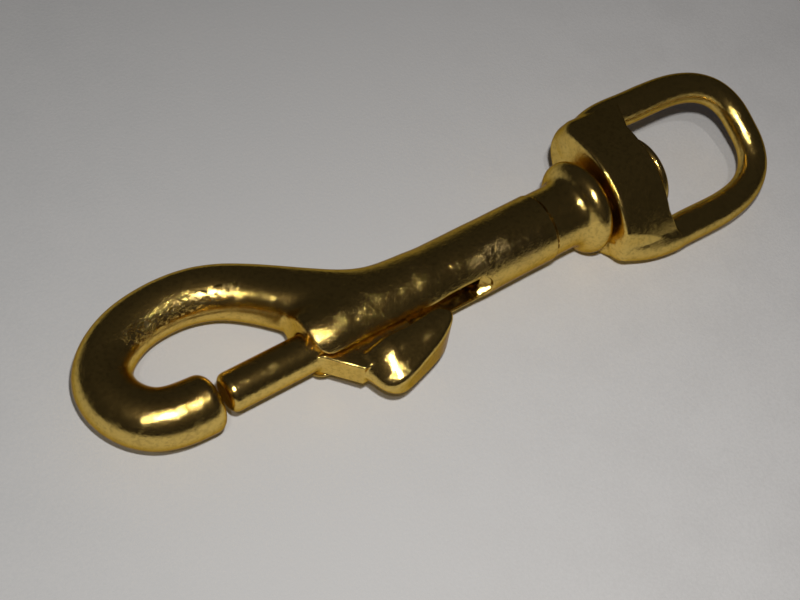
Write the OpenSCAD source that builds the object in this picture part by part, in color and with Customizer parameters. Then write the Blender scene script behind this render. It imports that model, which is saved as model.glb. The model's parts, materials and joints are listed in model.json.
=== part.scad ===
// Piston snap with a swivel eye: a cast hook body, a sprung thumb bolt and a loop that turns on a pin.
// X runs along the barrel from the hook to the eye, +Y is the side the hook bulges to, Z is up.
// All lengths are in millimetres.

/* [Barrel] */
// outside diameter of the barrel
barrel_d = 11; // [9.5:0.25:14]
// length of the barrel from its mouth to the turned step
barrel_len = 42.7; // [38:0.1:55]
// distance of the bore axis from the barrel axis, towards the slot
bore_offset = 1.1; // [0:0.05:1.2]
// width of the thumb slot
slot_w = 5; // [4.4:0.1:5.6]
// distance from the mouth to the closed end of the slot
slot_len = 30.2; // [28.5:0.1:34]
// radius on the two lips where the slot opens into the mouth
lip_r = 2.4; // [0.5:0.1:3]

/* [Collar] */
// diameter of the turned neck behind the step
neck_d = 10.6; // [9:0.1:13]
// length of the neck from the step to the crest of the collar
neck_len = 8.2; // [6:0.1:12]
// diameter over the collar
collar_d = 15.2; // [13.5:0.1:19]
// radius of the rounded collar edge
collar_r = 1.55; // [1:0.05:2]

/* [Hook] */
// thickness of the hook bar
hook_d = 8.2; // [6:0.1:9.2]
// distance from the mouth to the far centreline of the hook
hook_reach = 26.2; // [25.6:0.1:40]
// height of the hook centreline over the barrel axis
hook_rise = 16; // [15:0.1:26]
// rounding of the hook's end face
tip_r = 1.8; // [0.3:0.1:2]

/* [Bolt] */
// diameter of the sliding bolt
bolt_d = 5.9; // [5.7:0.05:6]
// running clearance on the radius between bolt and bore
bolt_fit = 0.08; // [0.02:0.01:0.1]
// gap left between the closed bolt and the hook's end face
nose_gap = 1.2; // [0.3:0.05:1.8]
// chamfer on the bolt's front end
nose_chamfer = 0.7; // [0.2:0.1:1.2]
// length of the bolt's full round behind the mouth
bolt_inside = 15.2; // [12:0.1:17]
// diameter of the spring guide on the bolt's tail
guide_d = 2.4; // [1.6:0.1:2.6]
// length of the spring guide
guide_len = 7; // [4:0.5:9]
// thickness of the web that runs in the slot
web_t = 4.1; // [2.5:0.1:4.2]
// length of the web along the slot
web_len = 13; // [9:0.1:13.5]

/* [Thumb piece] */
// length of the thumb piece
thumb_len = 17.5; // [13:0.1:18]
// how far the thumb piece stands out from its inner face
thumb_reach = 7; // [4:0.1:10]
// thickness of the thumb piece across the slot
thumb_t = 7.6; // [5.5:0.1:10]
// air between the barrel and the thumb piece
thumb_air = 0.8; // [0.5:0.1:1.5]

/* [Spring] */
// wire diameter of the spring
wire_d = 0.6; // [0.4:0.05:0.65]
// number of coils
coils = 11; // [8:1:13]
// radial gap between spring and bore
spring_gap = 0.9; // [0.7:0.05:1]

/* [Swivel pin] */
// diameter of the pin
pin_d = 5.2; // [4:0.1:5.4]
// diameter of the pin's head
head_d = 13.4; // [9:0.1:13.6]
// thickness of the pin's head
head_t = 2.4; // [1.6:0.1:3]
// length of the pin held in the body
pin_grip = 9.2; // [6:0.1:10]

/* [Swivel eye] */
// play on the radius between pin and eye
pin_fit = 0.45; // [0.45:0.05:0.6]
// air between the eye's crossbar and the pin's head
head_gap = 0.5; // [0.45:0.05:0.8]
// end play between the collar and the crossbar
end_play = 1; // [0.3:0.05:1.2]
// length of the crossbar along the pin
boss_len = 9.2; // [8:0.1:12]
// chamfer on the crossbar's back edges
boss_chamfer = 1.2; // [0.3:0.1:2]
// height of the crossbar over the pin
boss_h = 14.9; // [12:0.1:15]
// distance between the centrelines of the two arms
eye_w = 21.5; // [21:0.1:26]
// length of the straight part of the arms
arm_len = 9; // [7:0.1:16]
// depth of the bow beyond the straight arms
bow_len = 15.4; // [9:0.1:18]
// thickness of the arms
arm_d = 5.4; // [4.6:0.1:6]
// thickness of the bow at its middle
bow_d = 4.65; // [4:0.05:6]
// turn of the eye about the pin as the snap lies
eye_turn = 26; // [-35:1:35]
// lean of the eye on its loose pin
eye_lean = 1.4; // [0:0.1:1.5]
// sideways shift of the eye on its loose pin
eye_shift = 0.2; // [0:0.05:0.2]

/* [Hidden] */
// stations along the barrel axis, measured with the mouth at zero
step_x = barrel_len;
crest_x = step_x + neck_len;
face_x = crest_x + collar_r;
bore_r = bolt_d / 2 + bolt_fit;
bore_end = face_x - pin_grip;
nose_x = -hook_reach * 0.508;
tip_x = nose_x - nose_gap;
bolt_tail = bolt_inside;
slot_end = slot_len;
web_tail = 1.6 + web_len;
thumb_in = barrel_d / 2 + thumb_air;
thumb_front = 2.7;
boss_x = face_x + end_play;
boss_end = boss_x + boss_len;
head_x = boss_end + head_gap;
arm_end = boss_end + arm_len;
eye_end = arm_end + bow_len + bow_d / 2;
spring_r = bore_r - spring_gap - wire_d / 2;
flare_r = 2.1;
// centreline of the hook: share of the reach, share of the rise, share of the bar thickness
hook_shape = [
    [tip_x / -hook_reach, -bore_offset / hook_rise, 1.02],
    [0.643, -0.061, 1.04],
    [0.874, 0.022, 1.06],
    [0.989, 0.249, 1.055],
    [1.001, 0.578, 1.04],
    [0.858, 0.849, 0.995],
    [0.566, 0.999, 0.97],
    [0.269, 0.939, 0.98],
    [0.008, 0.677, 1.01]
];
// the shank: station from the mouth, share of the rise, radius, as it runs down into the barrel
shank = [
    [5.6, 0.350 * hook_rise, 0.435 * barrel_d],
    [12.2, 0.095 * hook_rise, 0.465 * barrel_d],
    [19.0, 0.01 * hook_rise, 0.470 * barrel_d]
];
// outline of the thumb piece: share of its length from the front, share of its reach
thumb_shape = [
    [0.03, 0.08], [0.08, 0.38], [0.17, 0.74], [0.27, 0.92], [0.40, 0.965], [0.58, 0.88], [0.78, 0.70],
    [0.95, 0.40], [1.01, 0.14], [0.94, 0.00], [0.72, 0.00], [0.45, 0.00], [0.24, 0.00], [0.09, 0.00]
];
// frame: middle of the outline in X and Y, lowest point in Z
hook_end = -hook_reach - hook_d * 1.127 / 2;
frame_x = (hook_end + eye_end) / 2;
frame_y = (hook_rise + hook_d * 0.97 / 2 - thumb_in - thumb_reach * 0.967) / 2;
arch = (pow(eye_w / 2 - 3, 2) + pow(boss_h * 0.145, 2)) / (2 * boss_h * 0.145);
boss_low = arch * (1 - cos(eye_turn)) + boss_h / 2 * cos(eye_turn)
    + (boss_len / 2 * sin(eye_lean) - eye_shift) * sin(eye_turn);
frame_z = max(collar_d / 2, boss_low);

$fn = 64;

// point on a smooth curve between b and c
function between(a, b, c, d, t) =
    0.5 * (2 * b + (c - a) * t + (2 * a - 5 * b + 4 * c - d) * t * t + (3 * b - a - 3 * c + d) * t * t * t);

// smooth open curve through the points p, n steps to a span
function curve(p, n) = concat(
    [for (i = [0 : len(p) - 2], k = [0 : n - 1])
        between(p[max(i - 1, 0)], p[i], p[i + 1], p[min(i + 2, len(p) - 1)], k / n)],
    [p[len(p) - 1]]
);

// smooth closed curve through the points p
function ring_curve(p, n) = [for (i = [0 : len(p) - 1], k = [0 : n - 1])
    between(p[(i + len(p) - 1) % len(p)], p[i], p[(i + 1) % len(p)], p[(i + 2) % len(p)], k / n)];

function unit(v) = v / norm(v);

// direction of the path at station i
function along(p, i) = unit([
    p[min(i + 1, len(p) - 1)][0] - p[max(i - 1, 0)][0],
    p[min(i + 1, len(p) - 1)][1] - p[max(i - 1, 0)][1]
]);

// one circle of points round a flat path: c is the centre, t the direction, r the radius
function hoop(c, t, r, sides) = [for (k = [0 : sides - 1])
    [c[0] - t[1] * r * cos(360 * k / sides), c[1] + t[0] * r * cos(360 * k / sides), r * sin(360 * k / sides)]];

// closed solid over a list of equal rings of points
module skin(rings) {
    n = len(rings[0]);
    m = len(rings);
    polyhedron(
        points = [for (r = rings) for (p = r) p],
        faces = concat(
            [[for (k = [0 : n - 1]) k]],
            [for (j = [0 : m - 2], k = [0 : n - 1])
                [j * n + k, (j + 1) * n + k, (j + 1) * n + (k + 1) % n]],
            [for (j = [0 : m - 2], k = [0 : n - 1])
                [j * n + k, (j + 1) * n + (k + 1) % n, j * n + (k + 1) % n]],
            [[for (k = [0 : n - 1]) (m - 1) * n + n - 1 - k]]
        )
    );
}

// round bar along a flat path of [x, y, radius], with both end faces rounded by e
module bar(p, sides, e) {
    last = len(p) - 1;
    t0 = along(p, 0);
    t1 = along(p, last);
    start = [for (b = [90 : -18 : 18])
        hoop(p[0] + [t0[0], t0[1], 0] * e * (1 - sin(b)), t0, p[0][2] - e * (1 - cos(b)), sides)];
    middle = [for (i = [1 : last - 1]) hoop(p[i], along(p, i), p[i][2], sides)];
    end = [for (b = [18 : 18 : 90])
        hoop(p[last] - [t1[0], t1[1], 0] * e * (1 - sin(b)), t1, p[last][2] - e * (1 - cos(b)), sides)];
    skin(concat(start, middle, end));
}

// cylinder along X from x0 to x1
module rod_x(r, x0, x1) {
    translate([x0, 0, 0])
        rotate([0, 90, 0])
            cylinder(r = r, h = x1 - x0);
}

// turned neck and collar, as a revolved profile
module collar() {
    rn = neck_d / 2;
    rc = collar_d / 2 - collar_r;
    fx = crest_x - collar_r * 0.55 - flare_r;
    rotate([0, 90, 0])
        rotate_extrude()
                polygon(concat(
                    [[0, step_x - 1], [rn, step_x - 1], [rn, fx]],
                    [for (a = [12 : 12 : 60]) [rn + flare_r * (1 - cos(a)), fx + flare_r * sin(a)]],
                    [for (a = [150 : -15 : 0]) [rc + collar_r * sin(a), crest_x + collar_r * cos(a)]],
                    [[0, face_x]]
                ));
}

// hook bar and the shank that runs down into the barrel
module hook() {
    path = concat(
        [for (q = hook_shape) [-q[0] * hook_reach, q[1] * hook_rise, q[2] * hook_d / 2]],
        shank
    );
    bar(curve(path, 5), 28, tip_r);
}

// round bore, slot with a milled end and rounded lips
module bolt_way() {
    translate([0, -bore_offset, 0])
        rod_x(bore_r, -1, bore_end);
    translate([-6, -barrel_d, -slot_w / 2])
        cube([slot_end - slot_w / 2 + 6, barrel_d - bore_offset, slot_w]);
    translate([slot_end - slot_w / 2, -bore_offset, 0])
        rotate([90, 0, 0])
            cylinder(d = slot_w, h = barrel_d);
    for (s = [-1, 1])
        translate([0, -bore_offset, 0])
            rotate([90, 0, 0])
                linear_extrude(barrel_d)
                    difference() {
                        translate([-1, s * (slot_w + lip_r - 1) / 2 - (lip_r + 1) / 2])
                            square([lip_r + 1, lip_r + 1]);
                        translate([lip_r, s * (slot_w / 2 + lip_r)])
                            circle(r = lip_r);
                    }
}

module snap_body() {
    color([0.66, 0.50, 0.17])
        difference() {
            union() {
                hook();
                rod_x(barrel_d / 2, 0, step_x);
                collar();
            }
            bolt_way();
            rod_x(pin_d / 2, bore_end - 1, face_x + 1);
        }
}

// rounded thumb piece, widest on its middle plane
module thumb() {
    line = ring_curve(thumb_shape, 3);
    levels = [for (a = [-78 : 13 : 78]) a];
    rings = [for (a = levels)
        let (
            z = sin(a) * thumb_t / 2 / sin(78),
            s = pow(1 - pow(abs(sin(a)), 3.2), 1 / 3.2),
            draft = pow(abs(sin(a)), 1.5)
        )
        [for (q = line) [
            thumb_front + thumb_len
                * (0.6 + (q[0] - 0.6) * (1 - (q[0] < 0.6 ? 0.22 : 0.12) * draft) * (0.25 + 0.75 * s)),
            -thumb_in - thumb_reach * (0.55 + (q[1] - 0.55) * (0.25 + 0.75 * s)),
            z
        ]]];
    skin(rings);
}

module plunger() {
    color([0.68, 0.52, 0.18]) {
        translate([0, -bore_offset, 0]) {
            rod_x(bolt_d / 2, nose_x + nose_chamfer, bolt_tail);
            rod_x(guide_d / 2, bolt_tail - 1, bolt_tail + guide_len);
            translate([nose_x, 0, 0])
                rotate([0, 90, 0])
                    cylinder(r1 = bolt_d / 2 - nose_chamfer, r2 = bolt_d / 2, h = nose_chamfer);
        }
        translate([0, 0, -web_t / 2])
            linear_extrude(web_t)
                polygon([
                    [0.6, -bore_offset - bolt_d / 2 + 0.4],
                    [web_tail, -bore_offset - bolt_d / 2 + 0.4],
                    [web_tail, -thumb_in - thumb_reach * 0.25],
                    [thumb_front + thumb_len * 0.17, -thumb_in - thumb_reach * 0.62],
                    [thumb_front + thumb_len * 0.02, -thumb_in - thumb_reach * 0.12]
                ]);
        thumb();
    }
}

// closed coil between the bolt's tail and the end of the bore
module spring() {
    x0 = bolt_tail + 0.05 + wire_d / 2;
    x1 = bore_end - 0.05 - wire_d / 2;
    steps = coils * 14;
    color([0.62, 0.62, 0.60])
        translate([0, -bore_offset, 0])
            skin([for (i = [0 : steps])
                let (
                    a = 360 * coils * i / steps,
                    x = x0 + (x1 - x0) * i / steps
                )
                [for (k = [7 : -1 : 0])
                    let (b = 45 * k)
                    [
                        x + wire_d / 2 * sin(b),
                        (spring_r + wire_d / 2 * cos(b)) * cos(a),
                        (spring_r + wire_d / 2 * cos(b)) * sin(a)
                    ]]]);
}

// headed pin: the head stands inside the eye, the tail is pressed into the body
module swivel_pin() {
    hr = head_d / 2;
    color([0.66, 0.50, 0.17])
        rotate([0, 90, 0])
            rotate_extrude()
                polygon(concat(
                    [[0, bore_end], [pin_d / 2, bore_end], [pin_d / 2, head_x], [hr - 0.3, head_x]],
                    [for (a = [0 : 18 : 72])
                        [hr - 0.8 + 0.8 * cos(a), head_x + head_t * 0.45 + head_t * 0.3 * sin(a)]],
                    [for (k = [1 : 1 : 5])
                        [(hr - 0.8) * (1 - k / 5), head_x + head_t * (0.75 + 0.25 * sin(18 * k))]]
                ));
}

// half of the loop's centreline: rounded back corner, straight arm, bow
function eye_half() = concat(
    [[boss_x + 0.37, eye_w / 2 - 2.3, arm_d / 2], [boss_x + boss_len * 0.55, eye_w / 2 - 0.7, arm_d / 2]],
    [for (x = [boss_end, boss_end + arm_len / 2]) [x, eye_w / 2, arm_d / 2]],
    [for (a = [0 : 7.5 : 90])
        [
            arm_end + bow_len * pow(sin(a), 2 / 2.75),
            eye_w / 2 * pow(cos(a), 2 / 2.75),
            arm_d / 2 + (bow_d - arm_d) / 2 * sin(a)
        ]]
);

module swivel_eye() {
    half = eye_half();
    n = len(half);
    loop = concat(half, [for (i = [n - 2 : -1 : 0]) [half[i][0], -half[i][1], half[i][2]]]);
    color([0.68, 0.52, 0.18])
        rotate([eye_turn, 0, 0])
            translate([boss_x + boss_len / 2, eye_shift, 0])
            rotate([0, 0, -eye_lean])
            translate([-boss_x - boss_len / 2, 0, 0])
            difference() {
                union() {
                    bar(loop, 24, arm_d * 0.42);
                    intersection() {
                        translate([boss_x, 0, 0])
                            rotate([90, 0, 90])
                                linear_extrude(boss_len)
                                    intersection() {
                                        translate([0, boss_h / 2 - arch])
                                            circle(r = arch, $fn = 180);
                                        translate([0, arch - boss_h / 2])
                                            circle(r = arch, $fn = 180);
                                    }
                        rotate([90, 0, 0])
                            translate([0, 0, -eye_w])
                                linear_extrude(2 * eye_w)
                                    polygon([
                                        [boss_x, -boss_h / 2 + boss_chamfer],
                                        [boss_x + boss_chamfer, -boss_h / 2 - 0.1],
                                        [boss_end, -boss_h / 2 - 0.1],
                                        [boss_end, boss_h / 2 + 0.1],
                                        [boss_x + boss_chamfer, boss_h / 2 + 0.1],
                                        [boss_x, boss_h / 2 - boss_chamfer]
                                    ]);
                        translate([0, 0, -boss_h])
                            linear_extrude(2 * boss_h)
                                union() {
                                    translate([boss_x + 4, -eye_w / 2 - 0.9])
                                        square([boss_len, eye_w + 1.8]);
                                    translate([boss_x, -eye_w / 2 + 3.1])
                                        square([boss_len, eye_w - 6.2]);
                                    for (s = [-1, 1])
                                        translate([boss_x + 4, s * (eye_w / 2 - 3.1)])
                                            circle(r = 4);
                                }
                    }
                }
                rod_x(pin_d / 2 + pin_fit, boss_x - 1, boss_end + 1);
            }
}

// the shared frame: middle of the part in X and Y, the surface it lies on at zero
module in_frame() {
    translate([-frame_x, -frame_y, frame_z])
        children();
}

in_frame() snap_body();
in_frame() plunger();
in_frame() spring();
in_frame() swivel_pin();
in_frame() swivel_eye();
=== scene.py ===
import json
import logging
import math
from dataclasses import dataclass, field
from enum import Enum
from typing import Any, Callable, Iterable, Sequence

import bpy
import numpy as np
from mathutils import Matrix, Vector


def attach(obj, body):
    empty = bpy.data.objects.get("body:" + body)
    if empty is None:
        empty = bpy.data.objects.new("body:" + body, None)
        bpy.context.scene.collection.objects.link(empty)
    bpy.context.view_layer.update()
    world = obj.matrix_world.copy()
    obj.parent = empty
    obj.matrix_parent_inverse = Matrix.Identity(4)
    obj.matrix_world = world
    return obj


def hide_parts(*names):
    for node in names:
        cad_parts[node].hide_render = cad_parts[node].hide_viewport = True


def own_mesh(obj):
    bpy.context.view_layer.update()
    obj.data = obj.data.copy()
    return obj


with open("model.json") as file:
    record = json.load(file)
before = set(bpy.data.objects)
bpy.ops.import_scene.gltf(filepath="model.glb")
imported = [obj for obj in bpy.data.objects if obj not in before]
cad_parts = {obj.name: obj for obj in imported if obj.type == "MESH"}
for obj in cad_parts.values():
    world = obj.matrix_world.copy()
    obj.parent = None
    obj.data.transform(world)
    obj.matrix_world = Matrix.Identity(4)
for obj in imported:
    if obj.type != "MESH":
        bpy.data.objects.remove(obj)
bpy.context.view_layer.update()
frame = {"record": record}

LOG = logging.getLogger("piston_snap")
MM = 0.001
TINY = 1e-9
INSIDE = -9.0  # a distance well inside, where a face doesn't reach
SWIVEL_STATION = 58.05  # the swivel's joint, from the barrel's mouth, in millimetres
EDGE_TINT = (0.44, 0.34, 0.23, 1.0)  # how tarnish dulls metal seen edge on

Points = np.ndarray
Values = np.ndarray
Form = Callable[[Points], Values]


# ---------------------------------------------------------------- shared place


@dataclass(frozen=True)
class Datum:
    """Where the barrel's axis and mouth lie in the shared frame, in millimetres."""

    mouth_x: float
    axis_y: float
    axis_z: float

    @classmethod
    def from_joint(cls, name: str, station: float) -> "Datum":
        """Reads the place from a joint whose station along the barrel is known.

        Args:
            name: the joint on the barrel's axis.
            station: the joint's distance from the mouth, in millimetres.

        Returns:
            The datum of the barrel.
        """
        joints = frame["record"]["behaviour"]["joints"]
        x, y, z = next(j["pos_m"] for j in joints if j["name"] == name)
        return cls(x / MM - station, y / MM, z / MM)

    def offset(self) -> np.ndarray:
        """Returns what a point on the barrel's own axes is moved by."""
        return np.array([self.mouth_x, self.axis_y, self.axis_z])

    def metres(self, points: Points) -> Points:
        """Returns points given along the barrel as places in the shared frame."""
        return (np.asarray(points, float) + self.offset()) * MM


DATUM = Datum.from_joint("eye_swivel", SWIVEL_STATION)


# ------------------------------------------------------------------- forms


def blend(a: Values, b: Values, soft: float) -> Values:
    """Joins two forms with a cast fillet.

    Args:
        a: distances to the first form.
        b: distances to the second form.
        soft: width over which the two run together.

    Returns:
        The distances to both.
    """
    near = np.maximum(soft - np.abs(a - b), 0.0) / soft
    return np.minimum(a, b) - near**3 * soft / 6.0


def carve(a: Values, b: Values, soft: float) -> Values:
    """Takes the second form out of the first, with an eased edge.

    Args:
        a: distances to the form that stays.
        b: distances to the form that is taken out.
        soft: width of the eased edge.

    Returns:
        The distances to what is left.
    """
    return -blend(-a, b, soft)


def meet(a: Values, b: Values, radius: float) -> Values:
    """Keeps what is inside both forms, with a round edge.

    Args:
        a: distances to the first form.
        b: distances to the second form.
        radius: radius of the edge where they meet.

    Returns:
        The distances to the common part.
    """
    corner = np.hypot(np.maximum(a + radius, 0.0), np.maximum(b + radius, 0.0))
    return np.minimum(-radius, np.maximum(a, b)) + corner


def norm_of(u: Values, v: Values, power: float | Values) -> Values:
    """Measures a place against a superellipse.

    Args:
        u: first coordinate, as a share of the half width.
        v: second coordinate, as a share of the half height.
        power: 2 for an ellipse, more for a squarer shape.

    Returns:
        1 on the superellipse, less inside it.
    """
    a, b = np.abs(u) + TINY, np.abs(v) + TINY
    return (a**power + b**power) ** (1.0 / power)


class SmoothPath:
    """A flat path with continuous curvature through given stations."""

    BATCH = 60000  # points that are searched for at once
    REFINEMENTS = 3  # steps that follow the first search

    def __init__(self, knots: Sequence[Sequence[float]], samples: int = 120) -> None:
        """Fits the path.

        Args:
            knots: rows whose first two numbers are the place and whose others ride along.
            samples: how many places are kept for the first search.
        """
        rows = np.array(knots, float)
        steps = np.linalg.norm(np.diff(rows[:, :2], axis=0), axis=1)
        self.knots = np.concatenate([[0.0], np.cumsum(steps)])
        self.rows = rows
        self.bends = self._second_derivatives()
        self.length = float(self.knots[-1])
        self.search_u = np.linspace(0.0, self.length, samples)
        self.search = self.at(self.search_u)[:, :2]

    def _second_derivatives(self) -> np.ndarray:
        """Solves the natural cubic spline through the rows.

        Returns:
            The second derivative of each row.
        """
        t, y = self.knots, self.rows
        n = len(t)
        h = np.diff(t)
        a = np.zeros((n, n))
        b = np.zeros_like(y)
        a[0, 0] = a[-1, -1] = 1.0
        for i in range(1, n - 1):
            a[i, i - 1 : i + 2] = h[i - 1], 2 * (h[i - 1] + h[i]), h[i]
            b[i] = 6 * ((y[i + 1] - y[i]) / h[i] - (y[i] - y[i - 1]) / h[i - 1])
        return np.linalg.solve(a, b)

    def at(self, u: Values, order: int = 0) -> np.ndarray:
        """Reads the path at given lengths.

        Args:
            u: lengths along the path.
            order: 0 for the rows themselves, 1 for their first derivative.

        Returns:
            A row for each length.
        """
        t, y, m = self.knots, self.rows, self.bends
        i = np.clip(np.searchsorted(t, u) - 1, 0, len(t) - 2)
        h = (t[i + 1] - t[i])[:, None]
        a = (t[i + 1] - u)[:, None] / h
        b = (u - t[i])[:, None] / h
        if order == 1:
            slope = (y[i + 1] - y[i]) / h
            return slope + h / 6 * ((3 * b**2 - 1) * m[i + 1] - (3 * a**2 - 1) * m[i])
        return (
            a * y[i]
            + b * y[i + 1]
            + ((a**3 - a) * m[i] + (b**3 - b) * m[i + 1]) * h**2 / 6
        )

    def nearest(self, flat: Points) -> tuple[Values, np.ndarray]:
        """Finds the nearest place on the path.

        Args:
            flat: points in the plane of the path.

        Returns:
            The signed distance to the path's left, and the rows at the nearest places.
        """
        u = np.empty(len(flat))
        for start in range(0, len(flat), self.BATCH):
            part = flat[start : start + self.BATCH]
            gaps = (part[:, 0, None] - self.search[:, 0]) ** 2
            gaps += (part[:, 1, None] - self.search[:, 1]) ** 2
            u[start : start + self.BATCH] = self.search_u[np.argmin(gaps, axis=1)]
        for _ in range(self.REFINEMENTS):
            place, slope = self.at(u)[:, :2], self.at(u, 1)[:, :2]
            along = ((flat - place) * slope).sum(1) / (slope**2).sum(1)
            u = np.clip(u + np.clip(along, -1.0, 1.0), 0.0, self.length)
        rows, slope = self.at(u), self.at(u, 1)[:, :2]
        away = flat - rows[:, :2]
        side = slope[:, 0] * away[:, 1] - slope[:, 1] * away[:, 0]
        side /= np.linalg.norm(slope, axis=1)
        return side, rows


@dataclass(frozen=True)
class Ripple:
    """The slow unevenness that casting and tumbling leave on a surface."""

    height: float
    wave: float
    seed: int
    waves: int = 9  # how many are summed

    def __call__(self, p: Points) -> Values:
        """Sums waves of random direction and phase.

        Args:
            p: points near the surface.

        Returns:
            How far the surface is moved in at each point.
        """
        rng = np.random.default_rng(self.seed)
        total = np.zeros(len(p))
        for _ in range(self.waves):
            way = rng.normal(size=3)
            way *= rng.uniform(0.6, 1.6) * 2 * math.pi / self.wave / np.linalg.norm(way)
            total += np.sin(p @ way + rng.uniform(0, 2 * math.pi))
        return total * self.height / math.sqrt(self.waves)


class Casting:
    """Turns a form into a closed mesh whose points lie on the form itself."""

    BLOCK = 6  # cells along the side of a block, which is tried as a whole first
    OFF_GRID = 0.37  # shift that keeps flat faces off the grid, in cells
    REACH = 1.25  # how much further than its corner a block looks for the surface
    PROBE = 0.02  # half the length over which a slope is measured
    PASSES = 3  # how often the points are moved onto the surface
    LONGEST_MOVE = 0.5  # the longest move in one pass, in cells

    def __init__(self, form: Form, low: Sequence[float], high: Sequence[float], cell: float) -> None:
        """Meshes the form.

        Args:
            form: gives the signed distance of each point to the surface.
            low: low corner of the space that holds the form.
            high: high corner of that space.
            cell: spacing of the grid.
        """
        self.form = form
        self.cell = cell
        self.low = np.array(low, float) - cell * self.OFF_GRID
        self.count = np.ceil((np.array(high, float) - self.low) / cell).astype(int) + 2
        corners = self._sample()
        self.points, self.quads = self._net(corners)
        self._settle()
        self.normals = self._gradient(self.points)
        self.normals /= np.linalg.norm(self.normals, axis=1)[:, None]

    def _sample(self) -> np.ndarray:
        """Evaluates the form on the grid, finely only near its surface.

        Returns:
            The distance at each corner of the grid.
        """
        block = self.BLOCK
        blocks = -(-self.count // block)
        grid = np.indices(blocks).reshape(3, -1).T
        middles = self.low + (grid + 0.5) * block * self.cell
        coarse = self.form(middles)
        values = np.repeat(np.repeat(np.repeat(
            coarse.reshape(blocks), block, 0), block, 1), block, 2)
        reach = block * self.cell * math.sqrt(3) / 2 * self.REACH + self.cell
        busy = grid[np.abs(coarse) < reach] * block
        inner = np.indices((block,) * 3).reshape(3, -1).T
        cells = (busy[:, None, :] + inner[None, :, :]).reshape(-1, 3)
        values[tuple(cells.T)] = self.form(self.low + cells * self.cell)
        return values[: self.count[0], : self.count[1], : self.count[2]]

    def _net(self, values: np.ndarray) -> tuple[Points, np.ndarray]:
        """Builds one point in each crossed cell and one quad on each crossed edge.

        Args:
            values: the distance at each corner of the grid.

        Returns:
            The points, and four point numbers for each quad.
        """
        shape = np.array(values.shape)
        stride = np.array([shape[1] * shape[2], shape[2], 1])
        sums = np.zeros((values.size, 3))
        hits = np.zeros(values.size)
        faces = []
        for axis in range(3):
            step = [slice(None)] * 3
            back = [slice(None)] * 3
            step[axis], back[axis] = slice(1, None), slice(None, -1)
            a, b = values[tuple(back)], values[tuple(step)]
            crossed = np.argwhere((a < 0) != (b < 0))
            one, two = (axis + 1) % 3, (axis + 2) % 3
            keep = (crossed[:, one] > 0) & (crossed[:, two] > 0)
            crossed = crossed[keep]
            va, vb = a[tuple(crossed.T)], b[tuple(crossed.T)]
            place = crossed.astype(float)
            place[:, axis] += va / (va - vb)
            base = crossed @ stride
            ring = [base, base - stride[one], base - stride[one] - stride[two], base - stride[two]]
            for cell_id in ring:
                for k in range(3):
                    sums[:, k] += np.bincount(cell_id, place[:, k], values.size)
                hits += np.bincount(cell_id, minlength=values.size)
            quad = np.stack(ring, 1)
            outward = va >= 0
            quad[outward] = quad[outward][:, ::-1]
            faces.append(quad)
        used = np.flatnonzero(hits)
        number = np.full(values.size, -1)
        number[used] = np.arange(len(used))
        points = self.low + sums[used] / hits[used, None] * self.cell
        return points, number[np.vstack(faces)]

    def _gradient(self, p: Points) -> Points:
        """Measures how steeply the form changes.

        Args:
            p: points near the surface.

        Returns:
            The slope of the form at each point.
        """
        step = self.PROBE
        slope = np.empty_like(p)
        for axis in range(3):
            shift = np.zeros(3)
            shift[axis] = step
            slope[:, axis] = (self.form(p + shift) - self.form(p - shift)) / (2 * step)
        return slope

    def _settle(self) -> None:
        """Moves the points onto the surface."""
        for _ in range(self.PASSES):
            slope = self._gradient(self.points)
            steep = np.maximum((slope**2).sum(1), 0.25)
            move = -(self.form(self.points) / steep)[:, None] * slope
            size = np.linalg.norm(move, axis=1)
            limit = np.minimum(1.0, self.LONGEST_MOVE * self.cell / np.maximum(size, TINY))
            self.points = self.points + move * limit[:, None]

    def piece(self, name: str, material: bpy.types.Material) -> bpy.types.Object:
        """Makes the Blender object.

        Args:
            name: the name of the piece.
            material: its finish.

        Returns:
            The new object, at the origin of the shared frame.
        """
        return new_piece(name, DATUM.metres(self.points), self.quads, material, self.normals)


def new_piece(
    name: str,
    points: Points,
    faces: Iterable[Sequence[int]],
    material: bpy.types.Material,
    normals: Points | None = None,
) -> bpy.types.Object:
    """Makes a smooth-shaded mesh object.

    Args:
        name: the name of the piece.
        points: its vertices in metres.
        faces: vertex numbers of each face.
        material: its finish.
        normals: a normal for each vertex, or None for Blender's own.

    Returns:
        The new object, linked to the scene.
    """
    mesh = bpy.data.meshes.new(name)
    mesh.from_pydata(np.asarray(points).tolist(), [], [list(map(int, f)) for f in faces])
    mesh.validate()
    mesh.shade_smooth()
    if normals is not None:
        mesh.normals_split_custom_set_from_vertices(normals.tolist())
    mesh.materials.append(material)
    made = bpy.data.objects.new(name, mesh)
    bpy.context.scene.collection.objects.link(made)
    return made


# ------------------------------------------------------------------- shaders


class Wire:
    """A shader socket that can be used in Python expressions."""

    def __init__(self, graph: "Graph", socket: bpy.types.NodeSocket) -> None:
        """Wraps an output socket of a graph."""
        self.graph = graph
        self.socket = socket

    def __add__(self, other: Any) -> "Wire":
        """Sum."""
        return self.graph.math("ADD", self, other)

    __radd__ = __add__

    def __sub__(self, other: Any) -> "Wire":
        """Difference."""
        return self.graph.math("SUBTRACT", self, other)

    def __rsub__(self, other: Any) -> "Wire":
        """Difference, reflected."""
        return self.graph.math("SUBTRACT", other, self)

    def __mul__(self, other: Any) -> "Wire":
        """Product."""
        return self.graph.math("MULTIPLY", self, other)

    __rmul__ = __mul__

    def most(self, other: Any) -> "Wire":
        """The larger of two values."""
        return self.graph.math("MAXIMUM", self, other)

    def ramp(self, low: float, high: float) -> "Wire":
        """A smooth step.

        Args:
            low: the value up to which it is 0.
            high: the value from which it is 1.

        Returns:
            The step.
        """
        return self.graph.add(
            "ShaderNodeMapRange",
            {"interpolation_type": "SMOOTHSTEP"},
            {"Value": self, "From Min": low, "From Max": high},
        )


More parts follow.
